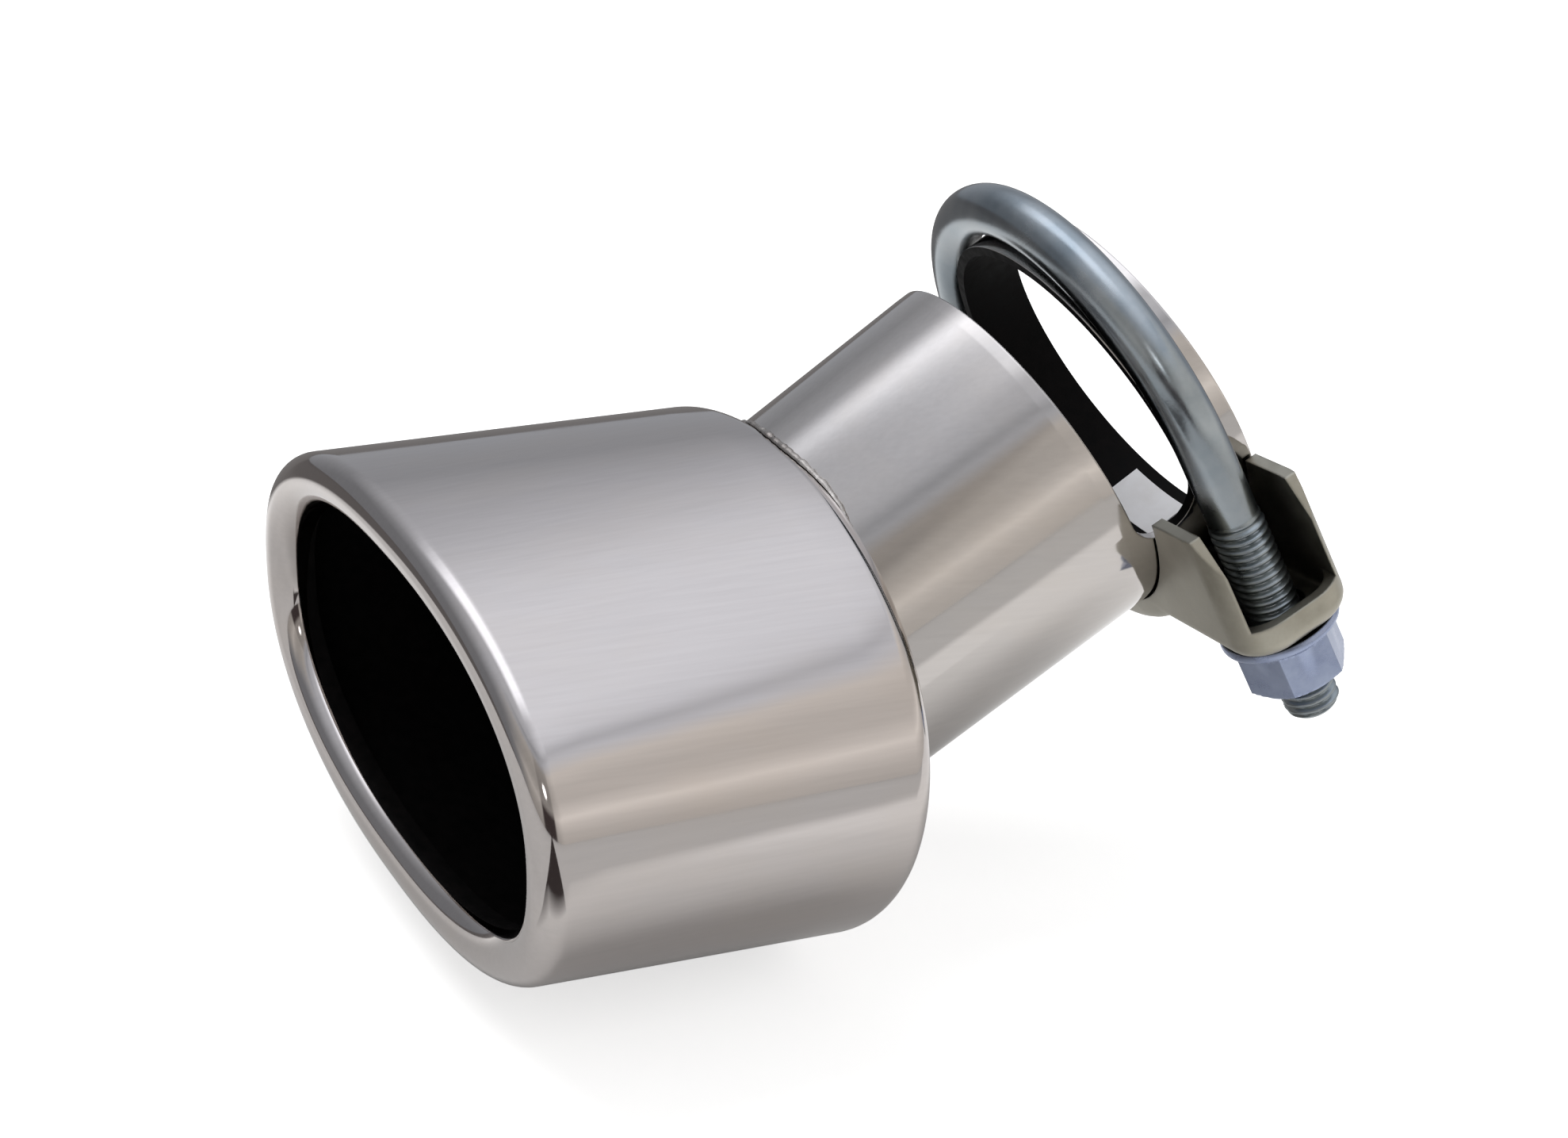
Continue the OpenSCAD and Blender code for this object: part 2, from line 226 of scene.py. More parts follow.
def polished_steel(name, tint, axis_turn, axis_point, axis_dir, inside_from, edge_round):
    """Mirror-like drawn steel with faint waves and streaks along its axis, with near-black painted shade on
    its inside.
    """
    m, n = material(name)
    streaks = n.noise(n.coords((1400, 60, 1400), axis_turn), 1.0, 4)
    waves = n.noise(n.coords((60, 8, 60), axis_turn), 1.0, 2)
    smears = n.noise(n.coords((90, 40, 90)), 1.0, 5, 0.6)
    rough = n.ramp(smears, [(0.35, 0.05), (0.62, 0.10), (0.8, 0.17)])
    colour = n.mix(n.ramp(streaks, [(0.3, 0.0), (0.7, 1.0)]), (*(v * 0.95 for v in tint), 1), (*tint, 1))
    warmer = (tint[0], tint[1] * 0.97, tint[2] * 0.92, 1)
    colour = n.mix(n.ramp(smears, [(0.45, 0.0), (0.8, 0.5)]), colour, warmer)
    edge = n.add("ShaderNodeBevel", {"Radius": edge_round}, samples=6)
    bump1 = n.add("ShaderNodeBump", {"Strength": 1.0, "Distance": WAVE_HEIGHT, "Height": waves,
                                     "Normal": edge.outputs[0]})
    bump2 = n.add("ShaderNodeBump", {"Strength": 0.35, "Distance": STREAK_HEIGHT, "Height": streaks,
                                     "Normal": bump1.outputs[0]})
    steel = n.add("ShaderNodeBsdfPrincipled", {
        "Base Color": colour, "Metallic": 1.0, "Roughness": rough, "Normal": bump2.outputs[0]})
    grain = n.noise(n.coords((600, 600, 600)), 1.0, 4)
    # Painted shade: the inward faces get a near-black colour that stands in for the unlit inside
    inside_shade = n.add("ShaderNodeBsdfPrincipled", {
        "Base Color": n.ramp(grain, [(0.3, (0.003, 0.003, 0.003)), (0.8, (0.007, 0.006, 0.006))]),
        "Roughness": n.ramp(grain, [(0.3, 0.5), (0.7, 0.65)]), "Specular IOR Level": 0.04,
        "Normal": n.add("ShaderNodeBump", {"Strength": 0.4, "Distance": 0.0001,
                                           "Height": grain}).outputs[0]})
    facing, run = inward(n, axis_point, axis_dir)
    inside_shade_mask = n.math("MULTIPLY", facing, n.math("GREATER_THAN", run, inside_from))
    n.finish(n.add("ShaderNodeMixShader", {0: inside_shade_mask, 1: steel.outputs[0], 2: inside_shade.outputs[0]}).outputs[0])
    return m


def zinc(name, base, patch, rough, edge_round, patch_scale, hollow_shade, reach):
    """Plated steel: a satin sheen, passivation patches, small pits, painted shade in its hollows, soft
    edges.
    """
    m, n = material(name)
    patches = n.noise(n.coords((patch_scale,) * 3), 1.0, 4, 0.6)
    pits = n.noise(n.coords((2600, 2600, 2600)), 1.0, 3, 0.6)
    scuffs = n.noise(n.coords((300, 1900, 900)), 1.0, 3)
    colour = n.mix(n.ramp(patches, [(0.32, 0.0), (0.68, 1.0)]), (*base, 1), (*patch, 1))
    colour = n.mix(n.ramp(scuffs, [(0.62, 0.0), (0.75, 0.35)]), colour,
                   tuple(min(1, v * 1.25) for v in base) + (1,))
    # Painted shade: the colour goes towards the given dark where ambient occlusion finds the surface
    # enclosed
    open_sky = n.add("ShaderNodeAmbientOcclusion", {"Distance": reach}, samples=8).outputs["AO"]
    colour = n.mix(n.ramp(open_sky, [(0.12, 1.0), (0.62, 0.0)]), colour, (*hollow_shade, 1))
    roughness = n.math("ADD", n.math("MULTIPLY", n.ramp(patches, [(0.3, 0.0), (0.7, 1.0)]), 0.14), rough)
    edge = n.add("ShaderNodeBevel", {"Radius": edge_round}, samples=4)
    bump = n.add("ShaderNodeBump", {"Strength": 0.5, "Distance": 0.00002, "Height": pits,
                                    "Normal": edge.outputs[0]})
    n.finish(n.add("ShaderNodeBsdfPrincipled", {
        "Base Color": colour, "Metallic": 1.0, "Roughness": roughness,
        "Normal": bump.outputs[0]}).outputs[0])
    return m


def weld_metal():
    m, n = material("weld_metal")
    ripple = n.noise(n.coords((900, 900, 900)), 1.0, 3)
    heat = n.noise(n.coords((150, 150, 150)), 1.0, 2)
    colour = n.ramp(heat, [(0.3, (0.26, 0.23, 0.21)), (0.55, (0.42, 0.39, 0.36)),
                           (0.75, (0.20, 0.17, 0.15))])
    bump = n.add("ShaderNodeBump", {"Strength": 0.8, "Distance": 0.0002, "Height": ripple})
    n.finish(n.add("ShaderNodeBsdfPrincipled", {
        "Base Color": colour, "Metallic": 1.0, "Roughness": n.ramp(ripple, [(0.3, 0.2), (0.7, 0.45)]),
        "Normal": bump.outputs[0]}).outputs[0])
    return m


def sticker_paper():
    m, n = material("sticker_paper")
    fibres = n.noise(n.coords((1500, 5200, 5200)), 1.0, 5, 0.6)
    stains = n.noise(n.coords((220, 220, 220)), 1.0, 3)
    colour = n.mix(n.ramp(stains, [(0.45, 0.0), (0.75, 0.5)]), (0.80, 0.80, 0.83, 1), (0.66, 0.64, 0.64, 1))
    bump = n.add("ShaderNodeBump", {"Strength": 0.4, "Distance": 0.00004, "Height": fibres})
    n.finish(n.add("ShaderNodeBsdfPrincipled", {
        "Base Color": colour, "Roughness": n.ramp(fibres, [(0.3, 0.45), (0.7, 0.6)]),
        "Normal": bump.outputs[0]}).outputs[0])
    return m


# Mesh helpers

def mesh_of(bm, name, sharp=35):
    bmesh.ops.recalc_face_normals(bm, faces=bm.faces)
    mesh = bpy.data.meshes.new(name)
    bm.to_mesh(mesh)
    bm.free()
    smooth_by_angle(mesh, sharp)
    return mesh


def smooth_by_angle(mesh, sharp):
    for p in mesh.polygons:
        p.use_smooth = True
    mesh.set_sharp_from_angle(angle=math.radians(sharp))


def skin(rings, name="skin", closed=False, sharp=35):
    """A skin over rings of points: capped at both ends, or closed on itself all round."""
    bm = bmesh.new()
    rows = [[bm.verts.new(p) for p in ring] for ring in rings]
    pairs = list(zip(rows, rows[1:])) + ([(rows[-1], rows[0])] if closed else [])
    for a, b in pairs:
        for i in range(len(a)):
            j = (i + 1) % len(a)
            bm.faces.new((a[i], a[j], b[j], b[i]))
    if not closed:
        bm.faces.new(rows[0][::-1])
        bm.faces.new(rows[-1])
    return mesh_of(bm, name, sharp)


def piece(name, mesh, look=None):
    obj = bpy.data.objects.new(name, mesh)
    bpy.context.scene.collection.objects.link(obj)
    if look:
        obj.data.materials.append(look)
    return obj


def stands_for(obj, node):
    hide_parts(node)
    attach(obj, "root")


def carve(base, how, cutter_mesh):
    """Applies one boolean to a piece and removes its cutter."""
    cutter = piece("cutter", cutter_mesh)
    mod = base.modifiers.new("carve", "BOOLEAN")
    mod.operation, mod.solver, mod.object = how, "EXACT", cutter
    graph = bpy.context.evaluated_depsgraph_get()
    done = bpy.data.meshes.new_from_object(base.evaluated_get(graph))
    base.modifiers.clear()
    base.data = done
    bpy.data.objects.remove(cutter)


# The shell: a smooth loft of the rolled sheet

AROUND = 320


def blend(a, b, share):
    return a + (b - a) * share


def growth(y):
    return max(0.0, min(1.0, (y - LIP_R) / (SHELL_LEN - SHOULDER_R - LIP_R)))


def power_of(v, p):
    return math.copysign(abs(v) ** p, v)


def shell_point(angle, y, inset):
    """Point of the shell at an angle round the oval, an axial place and an inset."""
    g = growth(y)
    a, b = blend(MOUTH_W, REAR_W, g) / 2, blend(MOUTH_H, REAR_H, g) / 2
    k = 2 / blend(MOUTH_POWER, REAR_POWER, g)
    c, s = math.cos(angle), math.sin(angle)
    nx, nz = power_of(c, 2 - k) / a, power_of(s, 2 - k) / b
    size = math.hypot(nx, nz)
    x = a * power_of(c, k) - inset * nx / size
    z = b * power_of(s, k) - inset * nz / size
    return Vector((x, y - MOUTH_SLOPE * z * (1 - g), z + MOUTH_LIFT * (1 - g)))


def rear_point(angle, travel, depth):
    """Point of the rear end at a travel from the outline towards the middle."""
    r = SHOULDER_R - depth
    bend = r * math.pi / 2
    turn = min(math.pi / 2, travel / r)
    inset = depth + r * (1 - math.cos(turn)) + max(0.0, travel - bend)
    return shell_point(angle, SHELL_LEN - SHOULDER_R + r * math.sin(turn), inset)


TUBE_ROOT = Vector((0, SHELL_LEN, ROOT_RISE))


def tube_clear(p):
    v = p - TUBE_ROOT
    d = v.dot(ALONG)
    radius = blend(ROOT_R, TUBE_R, max(0.0, min(1.0, d / CONE_LEN)))
    return (v - d * ALONG).length - radius


def seam_travel(angle, depth, gap):
    """Travel at which the rear end meets the tube with a given clearance."""
    low, high = 0.0, REAR_H / 2
    for _ in range(26):
        mid = (low + high) / 2
        if tube_clear(rear_point(angle, mid, depth)) > gap:
            low = mid
        else:
            high = mid
    return (low + high) / 2


def lip_side(angle, depth, steps):
    out = []
    for k in range(steps + 1):
        turn = math.pi * k / steps
        out.append(shell_point(angle, LIP_R - (LIP_R - depth) * math.sin(turn),
                               LIP_R + (LIP_R - depth) * math.cos(turn)))
    return out


def body_side(angle, depth, steps):
    return [shell_point(angle, blend(LIP_R, SHELL_LEN - SHOULDER_R, k / steps), depth)
            for k in range(1, steps)]


def rear_side(angle, depth, steps):
    bend = (SHOULDER_R - depth) * math.pi / 2
    end = seam_travel(angle, depth, SEAM)
    turned = min(bend, end)
    turn_steps = steps * 2 // 3
    flat_steps = steps - turn_steps
    stops = [turned * k / turn_steps for k in range(turn_steps + 1)]
    stops += [blend(turned, end, k / flat_steps) for k in range(1, flat_steps + 1)]
    return [rear_point(angle, t, depth) for t in stops]


def sheet_loop(angle):
    outside, inside = (
        lip_side(angle, depth, lip) + body_side(angle, depth, body) + rear_side(angle, depth, rear)
        for depth, lip, body, rear in ((0, 22, 10, 15), (SHELL_WALL, 12, 6, 9)))
    return ([shell_point(angle, LIP_R + LIP_TAIL, 2 * LIP_R)] + outside + inside[::-1]
            + [shell_point(angle, LIP_R + LIP_TAIL, 2 * LIP_R - SHELL_WALL)])


def place_on_shell(rings):
    return [[p + SHELL_MOUTH for p in ring] for ring in rings]


def make_shell():
    rings = [sheet_loop(math.tau * i / AROUND) for i in range(AROUND)]
    look = polished_steel("shell_steel", (0.525, 0.49, 0.475), (0, 0, 0), tuple(SHELL_MOUTH),
                          (0, 1, 0), LIP_R * 1.25, 0.0001)
    mesh = skin(place_on_shell(rings), "tip_shell_sheet", closed=True, sharp=40)
    stands_for(piece("tip_shell_sheet", mesh, look), "tip_shell")


# The weld seam: a thin, uneven bead between the tube and the shell

BEAD_LEG = 0.62 * MM
# Scale and height of the bead's two ripples, and the part of them that it has all round
BEAD_RIPPLES = ((900, 0.45), (2600, 0.3))
BEAD_EVEN = 0.35


def bead_loop(angle):
    travel = seam_travel(angle, -SEAM, 2 * SEAM)
    corner = rear_point(angle, travel, -SEAM)
    a = (rear_point(angle, max(0.0, travel - BEAD_LEG), -SEAM) - corner).normalized()
    ripple = sum(noise.noise(corner * scale) * height for scale, height in BEAD_RIPPLES)
    high = max(0.0, math.sin(angle)) ** 6
    leg = BEAD_LEG * (1 + ripple * blend(BEAD_EVEN, 1.0, high))
    out, steps = [corner], 6
    for k in range(steps + 1):
        v = a.lerp(ALONG, k / steps)
        out.append(corner + leg * v.normalized())
    return out


def make_weld():
    rings = [bead_loop(math.tau * i / (2 * AROUND)) for i in range(2 * AROUND)]
    mesh = skin(place_on_shell(rings), "weld_seam", closed=True, sharp=60)
    stands_for(piece("weld_seam", mesh, weld_metal()), "weld_bead")


# The U-bolt, with its rolled threads

def in_clamp(rings):
    return [[CLAMP_FRAME @ Vector(p) for p in ring] for ring in rings]


def thread_radius(depth, angle):
    """Radius of the leg at a depth under the bow's centre: plain, then a rolled thread, then a chamfer."""
    into = depth - PLAIN_LEN
    phase = (depth / THREAD_PITCH + angle / math.tau) % 1.0
    tooth = min(1.0, max(0.0, CREST_SHARE - FLANK_SLOPE * abs(phase - 0.5)))
    run_in = min(1.0, max(0.0, into / THREAD_RUN_IN))
    r = blend(blend(ROD_R, THREAD_ROOT, run_in), blend(ROD_R, THREAD_R, run_in), tooth)
    left = LEG_LEN - depth
    if left < END_CHAMFER:
        r = min(r, THREAD_R - END_CHAMFER + left)
    return r


def make_u_bolt():
    around, bow_steps, rows_per_pitch = 40, 96, 10
    circle = [math.tau * k / around for k in range(around)]
    thread_rows = math.ceil((LEG_LEN - PLAIN_LEN) / THREAD_PITCH * rows_per_pitch)
    depths = [LEG_LEN - (LEG_LEN - PLAIN_LEN) * k / thread_rows for k in range(thread_rows + 1)]

    def leg_ring(side, depth):
        return [(side * (BOW_R - thread_radius(depth, c) * math.cos(c)),
                 thread_radius(depth, c) * math.sin(c), -depth) for c in circle]

    rings = [leg_ring(1, depth) for depth in depths]
    for k in range(bow_steps + 1):
        turn = math.pi * k / bow_steps
        rings.append([((BOW_R - ROD_R * math.cos(c)) * math.cos(turn), ROD_R * math.sin(c),
                       (BOW_R - ROD_R * math.cos(c)) * math.sin(turn)) for c in circle])
    rings += [leg_ring(-1, depth) for depth in reversed(depths)]
    # The last two numbers of each finish set the colour and reach of the painted shade in hollows; the
    # thread's roots get the darkest
    plain = zinc("rod_zinc", (0.25, 0.29, 0.32), (0.36, 0.39, 0.41), 0.15, 0.0001, 120,
                 (0.05, 0.055, 0.06), 0.005)
    threaded = zinc("thread_zinc", (0.24, 0.27, 0.29), (0.33, 0.36, 0.37), 0.26, 0.00005, 300,
                    (0.02, 0.022, 0.024), 0.0007)
    obj = piece("u_bolt_rod", skin(in_clamp(rings), "u_bolt_rod", sharp=60), plain)
    obj.data.materials.append(threaded)
    back = CLAMP_FRAME.inverted()
    for p in obj.data.polygons:
        p.material_index = int((back @ p.center).z < -PLAIN_LEN)
    stands_for(obj, "u_bolt")


# The saddle: a stamped channel with a cradle, horns, and a low rim round each bolt

def oblong_ring(reach, half, corner, inset, z, steps=8):
    out = []
    for quarter, (sx, sy) in enumerate(((1, 1), (-1, 1), (-1, -1), (1, -1))):
        for k in range(steps + 1):
            a = (quarter + k / steps) * math.pi / 2
            out.append((sx * (reach - corner) + (corner - inset) * math.cos(a),
                        sy * (half - corner) + (corner - inset) * math.sin(a), z))
    return out


def oblong(reach, half, corner, edge, z0, z1):
    """Oblong block with round corners in plan and a rounded lower edge."""
    rings, steps = [], 8
    for k in range(steps + 1):
        a = math.pi / 2 * k / steps
        rings.append(oblong_ring(reach, half, corner, edge * (1 - math.sin(a)),
                                 z0 + edge * (1 - math.cos(a))))
    rings.append(oblong_ring(reach, half, corner, 0, z1))
    return skin(in_clamp(rings))


def belly(r, half, edge, around=128):
    """Round belly about the bow's centre, with both its edges rounded."""
    steps = 6
    turns = [math.pi / 2 * k / steps for k in range(steps + 1)]
    sides = [(-half + edge * (1 - math.cos(t)), r - edge * (1 - math.sin(t))) for t in turns]
    sides += [(-y, radius) for y, radius in reversed(sides)]
    circle = [math.tau * i / around for i in range(around)]
    return skin(in_clamp([[(radius * math.cos(c), y, radius * math.sin(c)) for c in circle]
                          for y, radius in sides]))


def prism(outline, half):
    """Side view in X and Z, drawn through the width."""
    return skin(in_clamp([[(x, y, z) for x, z in outline] for y in (-half, half)]))


def block(x, y, z0, z1):
    return prism([(-x, z0), (x, z0), (x, z1), (-x, z1)], y)


def rod_between(place, centre, r, z0, z1, around):
    rings = [[place @ Vector((centre + r * math.cos(math.tau * i / around),
                                     r * math.sin(math.tau * i / around), z)) for i in range(around)]
             for z in (z0, z1)]
    return skin(rings)


def make_saddle():
    reach, inside, over = BOW_R + EAR_REACH, SADDLE_HALF - SADDLE_WALL, 2 * MM
    belly_r = TUBE_R + CRADLE_SEAT + BELLY_H
    rim_z = -EAR_DROP + RIM_H
    horn_x, fall_z = reach - HORN_IN, -HORN_DROP - HORN_FALL
    obj = piece("saddle_channel", oblong(reach, SADDLE_HALF, EAR_CORNER, SADDLE_ROUND, -EAR_DROP, 0))
    carve(obj, "INTERSECT", prism([
        (-reach - over, -EAR_DROP - over), (reach + over, -EAR_DROP - over), (reach + over, fall_z),
        (reach, fall_z), (horn_x, -HORN_DROP), (-horn_x, -HORN_DROP), (-reach, fall_z),
        (-reach - over, fall_z)], SADDLE_HALF + over))
    lobe = piece("lobe", belly(belly_r, SADDLE_HALF - SHY, SADDLE_ROUND))
    carve(lobe, "DIFFERENCE", block(2 * TUBE_R, 2 * SADDLE_HALF, rim_z, 2 * TUBE_R))
    carve(obj, "UNION", lobe.data)
    bpy.data.objects.remove(lobe)
    inner_round = SADDLE_ROUND - SADDLE_WALL
    carve(obj, "DIFFERENCE", oblong(reach - SADDLE_WALL, inside, EAR_CORNER - SADDLE_WALL, inner_round,
                                    -EAR_DROP + SADDLE_WALL, over))
    carve(obj, "DIFFERENCE", belly(belly_r - SADDLE_WALL, inside - SHY, inner_round))
    carve(obj, "DIFFERENCE", block(reach + over, inside - 2 * SHY, rim_z, 2 * over))
    carve(obj, "DIFFERENCE", rod_between(TUBE_FRAME, 0, TUBE_R + CRADLE_SEAT, TUBE_LEN - CUT_IN,
                                         TUBE_LEN + CUT_OUT, 128))
    for side in (-1, 1):
        carve(obj, "DIFFERENCE", rod_between(CLAMP_FRAME, side * BOW_R, BOLT_HOLE_R, -EAR_DROP - over,
                                             -EAR_DROP + SADDLE_WALL + over, 64))
    smooth_by_angle(obj.data, 32)
    # Its painted shade darkens the channel's inside almost to black
    look = zinc("saddle_zinc", (0.33, 0.31, 0.255), (0.42, 0.40, 0.34), 0.34, 0.0005, 200,
                (0.02, 0.022, 0.018), 0.011)
    obj.data.materials.clear()
    obj.data.materials.append(look)
    stands_for(obj, "saddle")


# The flange nuts

def nut_mesh(side):
    """One flange nut as rings: flats with chamfered corners, then a coned flange with a round rim."""
    around, steps, corner_steps = 144, 6, 8
    flat_r = NUT_FLATS / 2
    face_r, rim_r, bore = flat_r * FACE_SHARE, FLANGE_R - FLANGE_ROUND, THREAD_R + BORE_PLAY

    def hexagon(a):
        return flat_r / math.cos((a - NUT_TURN) % (math.pi / 3) - math.pi / 6)

    rows = [(-NUT_H + BORE_CHAMFER, lambda a: bore), (-NUT_H, lambda a: bore + BORE_CHAMFER),
            (-NUT_H, lambda a: face_r)]
    for k in range(corner_steps + 1):
        up = CORNER_H * k / corner_steps
        rows.append((-NUT_H + up, lambda a, up=up: min(hexagon(a), face_r + up * CORNER_SLOPE)))
    for k in range(steps + 1):
        cone = blend(flat_r, rim_r, (k / steps) ** CONE_CURVE)
        rows.append((blend(-FLANGE_EDGE - CONE_H, -FLANGE_EDGE, k / steps),
                     lambda a, cone=cone: max(hexagon(a), cone)))
    for k in range(steps + 1):
        turn = math.pi * k / steps
        rim = rim_r + FLANGE_ROUND * math.sin(turn)
        rows.append((-FLANGE_EDGE / 2 * (1 + math.cos(turn)), lambda a, rim=rim: rim))
    rows.append((0.0, lambda a: bore))
    angles = [NUT_TURN + math.tau * i / around for i in range(around)]
    rings = [[(side * BOW_R + radius(a) * math.cos(a), radius(a) * math.sin(a), -EAR_DROP - NUT_SEAT + z)
              for a in angles] for z, radius in rows]
    return skin(in_clamp(rings), "flange_nut", closed=True, sharp=24)


def make_nuts():
    # Painted shade darkens the nuts' hollows
    look = zinc("nut_zinc", (0.27, 0.31, 0.44), (0.36, 0.41, 0.54), 0.22, 0.0003, 260,
                (0.05, 0.05, 0.06), 0.004)
    for side, node in ((-1, "flange_nut_left"), (1, "flange_nut_right")):
        stands_for(piece(node + "_turned", nut_mesh(side), look), node)


# Finishes of the pieces that keep their CAD form

def finish_cad_nodes():
    looks = {
        "inlet_tube": polished_steel("tube_steel_look", (0.535, 0.505, 0.485), (-TUBE_ANGLE, 0, 0),
                                     tuple(ROOT), tuple(ALONG), -1.0, 0.0004),
        "size_label": sticker_paper(),
    }
    for name, look in looks.items():
        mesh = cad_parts[name].data
        mesh.materials.clear()
        mesh.materials.append(look)


# Studio: floor, reflection tent, lamps and world

FLOOR_SIZE, FLOOR_DROP = 6.0, 0.0002
TENT_RADIUS = 1.6
TO_CAMERA = (Vector(CAM_LOCATION) - SHELL_MIDDLE).normalized()
LEVEL_TO_CAMERA = Vector((TO_CAMERA.x, TO_CAMERA.y, 0)).normalized()
# Reflections see the paper with a painted shadow, dimmer near the part, and dark past its end towards the
# camera
PAPER_END, PAPER_FADE, PAPER_DARK = 0.123, 0.02, 0.03
PAPER_FRONT, PAPER_LEFT = 0.135, 0.13
PAPER_GLOW = 0.62
PAPER_NEAR, PAPER_FAR = 0.055, 0.135
PAPER_UNDER, PAPER_GAIN, PAPER_LOSS, PAPER_SHIFT, LEFT_SHARE = 0.04, 0.60, 0.9, 0.01, 0.85


def make_floor():
    s, z = FLOOR_SIZE, CAD_LOW.z - FLOOR_DROP
    mesh = bpy.data.meshes.new("floor")
    mesh.from_pydata([(-s, -s, z), (s, -s, z), (s, s, z), (-s, s, z)], [], [(0, 1, 2, 3)])
    m, n = material("floor_white")
    path = n.add("ShaderNodeLightPath")
    place = n.add("ShaderNodeTexCoord").outputs["Object"]
    past_end = n.math("SUBTRACT", n.vmath("DOT_PRODUCT", place, tuple(LEVEL_TO_CAMERA), "Value"), PAPER_END)
    past_front = n.math("SUBTRACT", n.vmath("DOT_PRODUCT", place, (0, -1, 0), "Value"), PAPER_FRONT)
    past = n.math("DIVIDE", n.math("MAXIMUM", past_end, past_front), PAPER_FADE, clamp=True)
    # Painted shadow: only reflections see the paper dim under and near the part
    under = (SHELL_MIDDLE.x, SHELL_MIDDLE.y + PAPER_SHIFT, z)
    far = n.vmath("DISTANCE", place, under, "Value")
    far = n.math("DIVIDE", n.math("SUBTRACT", far, PAPER_NEAR), PAPER_FAR - PAPER_NEAR, clamp=True)
    paper = n.math("MULTIPLY", n.math("MULTIPLY_ADD", far, PAPER_GAIN, PAPER_UNDER),
                   n.math("MULTIPLY_ADD", past, -PAPER_LOSS, 1.0))
    seen = n.math("ADD", n.math("ADD", path.outputs["Is Camera Ray"], path.outputs["Is Transmission Ray"]),
                  n.math("MULTIPLY", path.outputs["Is Glossy Ray"], paper), clamp=True)
    grain = n.noise(n.coords((40, 40, 40)), 1.0, 3)
    card = n.add("ShaderNodeBsdfDiffuse", {"Color": n.ramp(grain, [(0.3, 0.79), (0.7, 0.81)])})
    glow = n.add("ShaderNodeEmission", {"Color": (1, 1, 1, 1),
                                        "Strength": n.math("MULTIPLY", seen, PAPER_GLOW)})
    lit = n.add("ShaderNodeAddShader", {0: card.outputs[0], 1: glow.outputs[0]}).outputs[0]
    sideways = Vector((LEVEL_TO_CAMERA.y, -LEVEL_TO_CAMERA.x, 0))
    aside = n.math("SUBTRACT", n.vmath("DOT_PRODUCT", place, tuple(sideways), "Value"),
                   sideways.dot(Vector(CAM_LOCATION)))
    narrow = n.math("LESS_THAN", n.math("ABSOLUTE", aside), PAPER_DARK)
    left = n.math("SUBTRACT", n.vmath("DOT_PRODUCT", place, (-1, 0, 0), "Value"), PAPER_LEFT)
    left = n.math("MULTIPLY", n.math("DIVIDE", left, PAPER_FADE, clamp=True), LEFT_SHARE)
    dim = n.math("MULTIPLY", n.math("MAXIMUM", n.math("MULTIPLY", past, narrow), left),
                 path.outputs["Is Glossy Ray"])
    shade = n.add("ShaderNodeEmission", {"Color": (0.06, 0.05, 0.05, 1), "Strength": 1.0})
    n.finish(n.add("ShaderNodeMixShader", {0: dim, 1: lit, 2: shade.outputs[0]}).outputs[0])
    piece("floor", mesh, m)


def warm(v):
    return (v * 1.04, v, v * 0.95)


def cool(v):
    return (v * 0.96, v, v * 1.08)


# Brightness of the room by height, on the right and on the left of the part
RIGHT_STOPS = [
    (0.00, warm(0.70)), (0.10, warm(0.78)), (0.20, warm(0.95)), (0.26, warm(1.12)), (0.32, warm(0.95)),
    (0.42, warm(0.80)), (0.55, warm(0.80)), (0.66, warm(0.94)), (0.74, cool(0.92)), (0.78, cool(0.78)),
    (0.83, cool(1.08)), (0.90, cool(1.22)), (1.00, cool(1.25))]
LEFT_STOPS = [
    (0.00, cool(0.42)), (0.34, cool(0.44)), (0.45, cool(0.56)), (0.55, cool(0.70)), (0.66, cool(0.88)),
    (0.76, cool(1.08)), (0.86, cool(1.20)), (1.00, cool(1.25))]
# The long window in the ceiling: its reach along X and Y, from 0 to 1 across the dome
WINDOW_X = [(0.10, 0.0), (0.24, 1.0), (0.52, 1.0), (0.68, 0.0)]
WINDOW_Y = [(0.30, 0.0), (0.42, 1.0), (0.54, 1.0), (0.63, 0.0)]
WINDOW_LOW, WINDOW_LIGHT = 0.4, 2.1


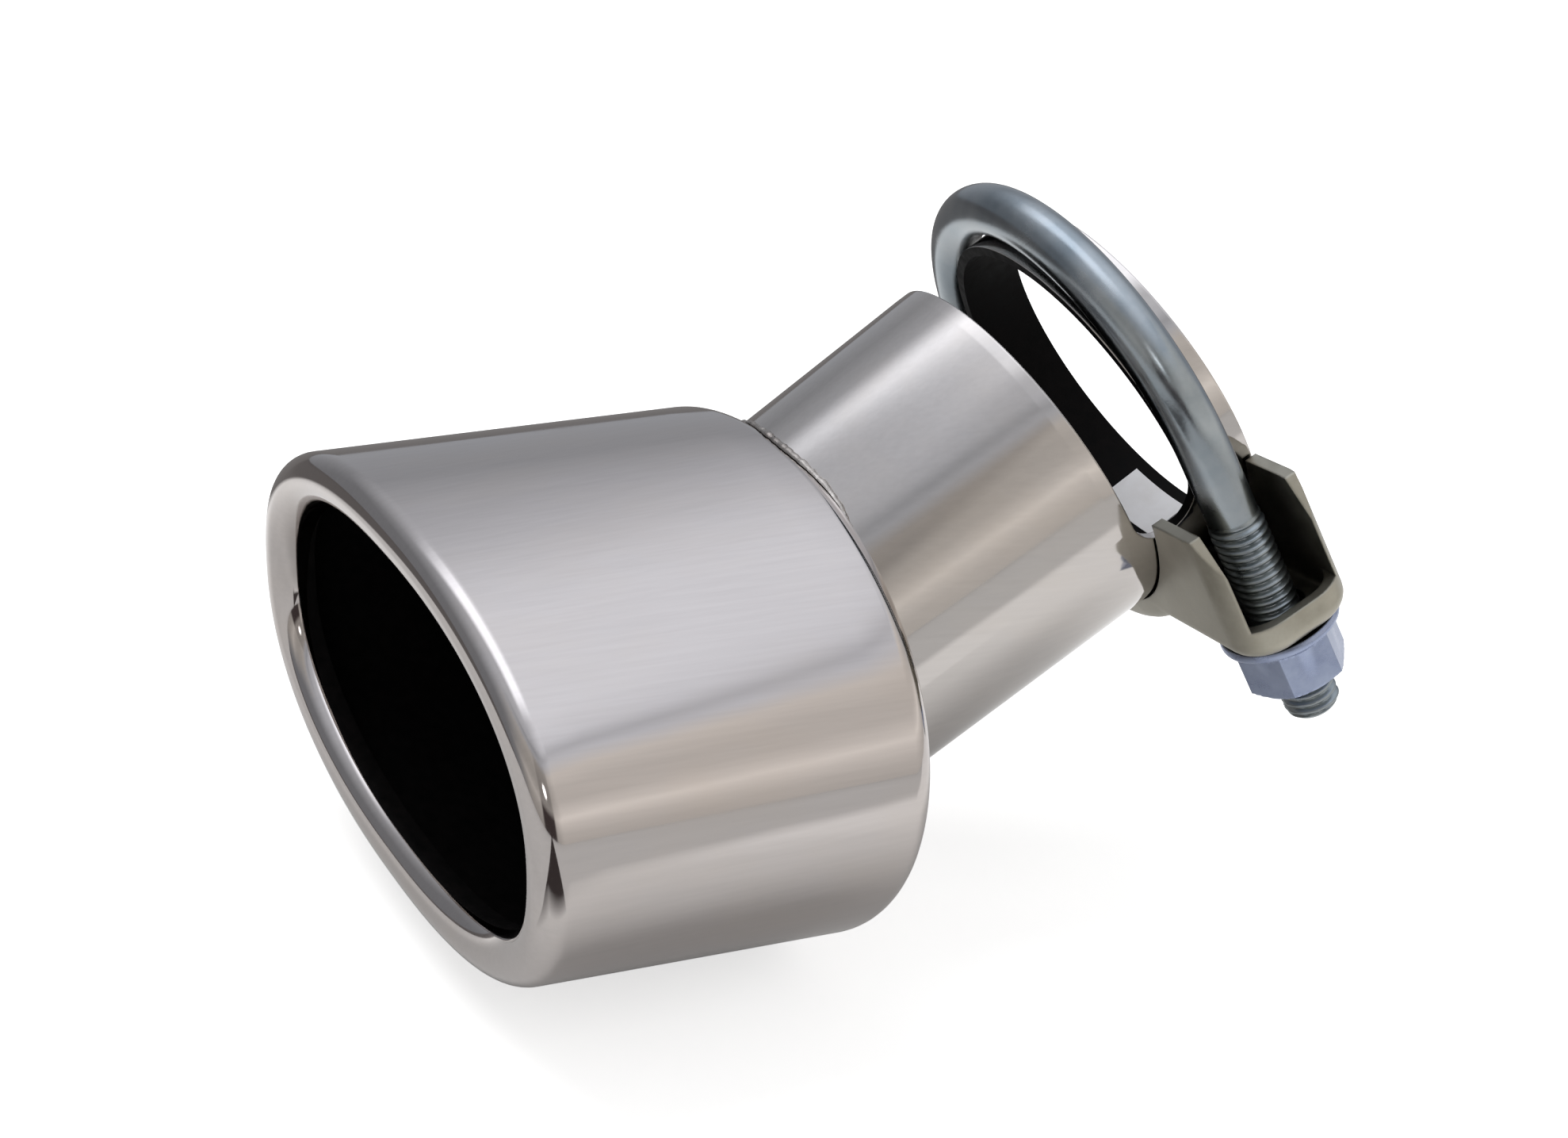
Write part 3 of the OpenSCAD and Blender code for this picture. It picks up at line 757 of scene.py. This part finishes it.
def make_tent():
    """A dome that only reflections see: dim walls, a bright ceiling and window, a dark patch, a flash."""
    bm = bmesh.new()
    bmesh.ops.create_uvsphere(bm, u_segments=96, v_segments=48, radius=TENT_RADIUS)
    obj = piece("tent", mesh_of(bm, "tent"))
    obj.location = SHELL_MIDDLE
    obj.visible_camera = obj.visible_diffuse = obj.visible_shadow = False
    obj.visible_transmission = False
    m, n = material("tent_light")
    unit = n.add("ShaderNodeVectorMath", {0: n.add("ShaderNodeTexCoord").outputs["Object"]},
                 operation="NORMALIZE").outputs[0]
    parts = n.add("ShaderNodeSeparateXYZ", {0: unit})
    wobble = n.math("MULTIPLY", n.math("SUBTRACT", n.noise(unit, 2.5, 3), 0.5), 0.06)
    height = n.math("ADD", parts.outputs["Z"], wobble)
    side = n.ramp(n.math("ADD", parts.outputs["X"], 0.5), [(0.25, 0.0), (0.85, 1.0)], smooth=True)
    light = n.mix(side, n.ramp(height, LEFT_STOPS), n.ramp(height, RIGHT_STOPS))
    front = n.ramp(n.math("ADD", parts.outputs["Y"], 0.5), [(0.2, 0.62), (0.75, 1.0)])
    light = n.add("ShaderNodeVectorMath", {0: light, 3: front}, operation="SCALE").outputs[0]
    along_x, along_y = (n.ramp(n.math("MULTIPLY_ADD", parts.outputs[axis], 0.5, 0.5), stops, smooth=True)
                        for axis, stops in (("X", WINDOW_X), ("Y", WINDOW_Y)))
    window = n.math("MULTIPLY", n.math("MULTIPLY", along_x, along_y),
                    n.math("GREATER_THAN", parts.outputs["Z"], WINDOW_LOW))
    light = n.mix(window, light, (*cool(WINDOW_LIGHT), 1))
    level = n.add("ShaderNodeVectorMath", {0: n.vmath("MULTIPLY", unit, (1, 1, 0))},
                  operation="NORMALIZE").outputs[0]
    column = n.ramp(n.vmath("DOT_PRODUCT", level, tuple(LEVEL_TO_CAMERA), "Value"),
                    [(0.935, 0.0), (0.962, 1.0)])
    under = n.ramp(parts.outputs["Z"], [(0.22, 1.0), (0.32, 0.35), (0.66, 0.3), (0.74, 0.0)])
    light = n.mix(n.math("MULTIPLY", column, under), light, (0.07, 0.055, 0.055, 1))
    flash = n.ramp(n.vmath("DOT_PRODUCT", unit, tuple(TO_CAMERA), "Value"), [(0.9984, 0.0), (0.9992, 1.0)])
    light = n.mix(flash, light, (6, 6, 6, 1))
    n.finish(n.add("ShaderNodeEmission", {"Color": light, "Strength": 1.0}).outputs[0])
    obj.data.materials.append(m)


def lamp(name, place, size, power):
    """A soft white disk that points at the origin, and that reflections don't see."""
    data = bpy.data.lights.new(name, "AREA")
    data.shape = "DISK"
    data.size = size
    data.energy = power
    obj = bpy.data.objects.new(name, data)
    bpy.context.scene.collection.objects.link(obj)
    obj.location = place
    obj.rotation_mode = "QUATERNION"
    obj.rotation_quaternion = Vector(place).to_track_quat("Z", "Y")
    obj.visible_glossy = False


# Strength of the world on the part; it is white where it is seen
WORLD_LIGHT = 0.5


def make_world():
    world = bpy.data.worlds.new("studio")
    bpy.context.scene.world = world
    world.use_nodes = True
    n = Nodes(world.node_tree)
    path = n.add("ShaderNodeLightPath")
    seen = n.math("ADD", n.math("ADD", path.outputs["Is Camera Ray"], path.outputs["Is Glossy Ray"]),
                  path.outputs["Is Transmission Ray"], clamp=True)
    strength = n.math("MULTIPLY_ADD", seen, 1 - WORLD_LIGHT, WORLD_LIGHT)
    bg = n.add("ShaderNodeBackground", {"Color": (1, 1, 1, 1), "Strength": strength})
    out = n.add("ShaderNodeOutputWorld")
    world.node_tree.links.new(bg.outputs[0], out.inputs[0])


make_camera()
finish_cad_nodes()
make_shell()
make_weld()
make_u_bolt()
make_saddle()
make_nuts()
make_floor()
make_tent()
lamp("key", (-0.5, -0.5, 1.3), 1.0, 9.0)
lamp("fill", (1.0, 0.4, 0.9), 0.9, 3.0)
make_world()

scene = bpy.context.scene
scene.view_settings.view_transform = "Standard"
